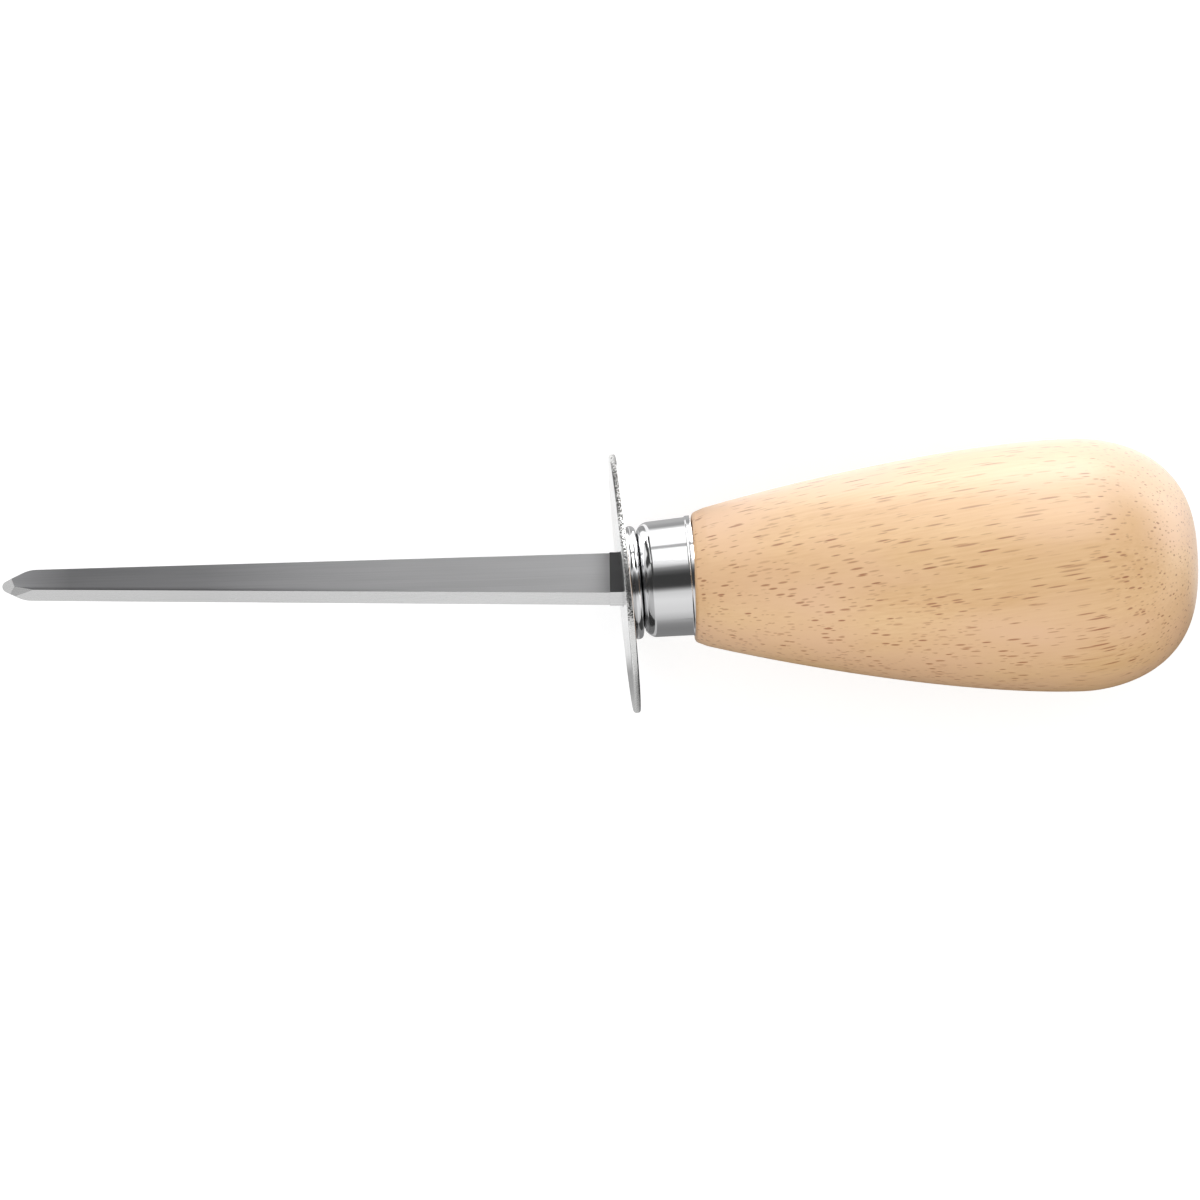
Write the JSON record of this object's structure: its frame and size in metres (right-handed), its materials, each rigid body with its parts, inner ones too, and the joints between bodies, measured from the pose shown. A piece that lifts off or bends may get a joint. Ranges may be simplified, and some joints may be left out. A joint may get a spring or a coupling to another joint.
{
  "type": "oyster knife",
  "caption": "Oyster knife with a narrow spear-point blade, a round steel guard, a collar and ferrule, and a pear-shaped wooden handle",
  "frame": {"origin": "centre of the guard's front face", "axes": "+X along the handle's axis to the butt, +Y towards the blade's unbevelled spine, +Z square to the blade's flats"},
  "size_m": [0.1782, 0.0388, 0.0388],
  "materials": {
    "ground_steel": "ground lengthwise with a fine belt",
    "polished_steel": "polished faces, rough blanked rim",
    "plated_steel": "bright plating on drawn and turned steel",
    "pale_wood": "turned, sanded and lightly sealed"
  },
  "bodies": {
    "root": {"blade": "ground_steel", "guard": "polished_steel", "collar": "plated_steel", "ferrule": "plated_steel", "handle": "pale_wood"}
  },
  "joints": []
}
